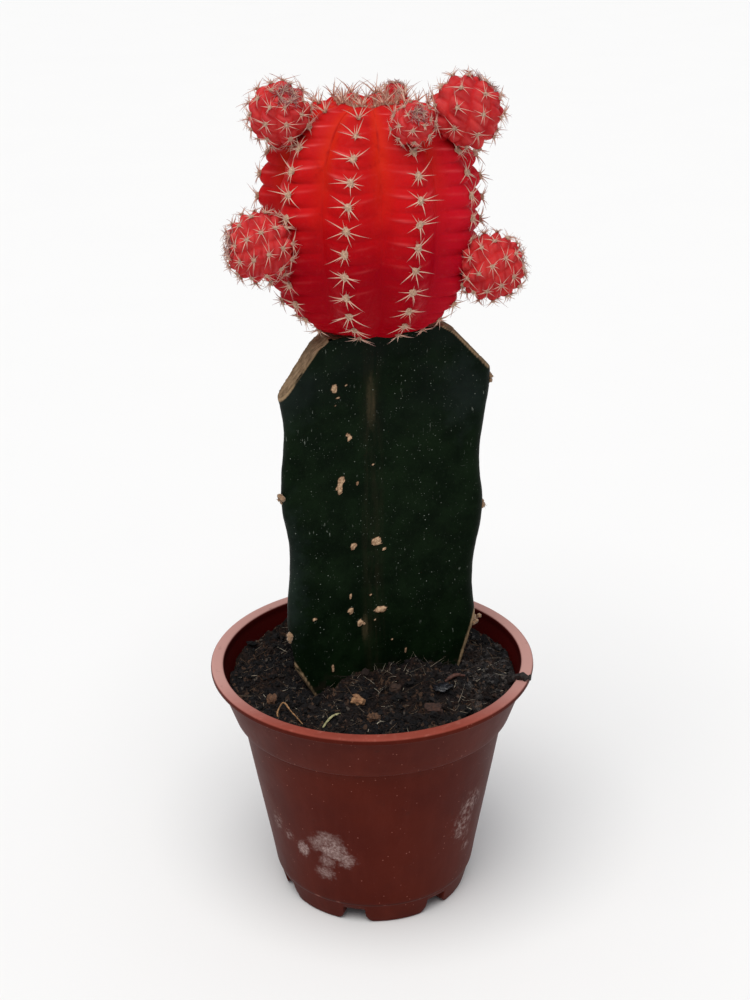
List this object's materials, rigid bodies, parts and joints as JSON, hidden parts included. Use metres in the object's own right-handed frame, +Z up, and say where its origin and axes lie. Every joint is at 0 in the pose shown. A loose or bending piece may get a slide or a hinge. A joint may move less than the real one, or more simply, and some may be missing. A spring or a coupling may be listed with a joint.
{
  "type": "potted round cactus (grafted moon cactus)",
  "caption": "Grafted cactus: a red ribbed globe with spiny offsets on a tall three-winged green rootstock, standing in peat in a round plastic nursery pot.",
  "frame": {"origin": "on the pot's axis, on the surface that the pot's feet stand on", "axes": "+Z up along the pot's axis; -Y is the front, the broad side of the rootstock; +X is to the right seen from the front"},
  "size_m": [0.085, 0.085, 0.2202],
  "materials": {
    "terracotta_plastic": "moulded terracotta-brown plastic, satin, dusty, with limescale smudges",
    "peat": "near-black moist peat with fibres and bark crumbs",
    "rootstock_skin": "very dark green waxy skin with corky scars and tan cut edges",
    "globe_flesh": "saturated red flesh, orange in the furrows, crimson toward the graft",
    "offset_flesh": "muted coral red flesh",
    "bark": "rough brown bark",
    "dark_peat": "near-black, slightly shiny",
    "straw": "dry straw"
  },
  "bodies": {
    "root": {"pot": "terracotta_plastic", "potting_mix": "peat", "rootstock": "rootstock_skin", "scion_globe": "globe_flesh", "offset_upper_left": "offset_flesh", "offset_upper_right": "offset_flesh", "offset_lower_left": "offset_flesh", "offset_lower_right": "offset_flesh", "offset_front_bud": "offset_flesh", "offset_crown_bud": "offset_flesh", "offset_back_left": "offset_flesh", "offset_back_right": "offset_flesh", "bark_chip_1": "bark", "bark_chip_2": "bark", "bark_chip_3": "bark", "bark_chip_4": "bark", "bark_chip_5": "bark", "bark_chip_6": "bark", "peat_flake": "dark_peat", "twig": "dark_peat", "root_stick": "straw", "straw_stalk": "straw", "dry_stalk": "straw"}
  },
  "joints": []
}
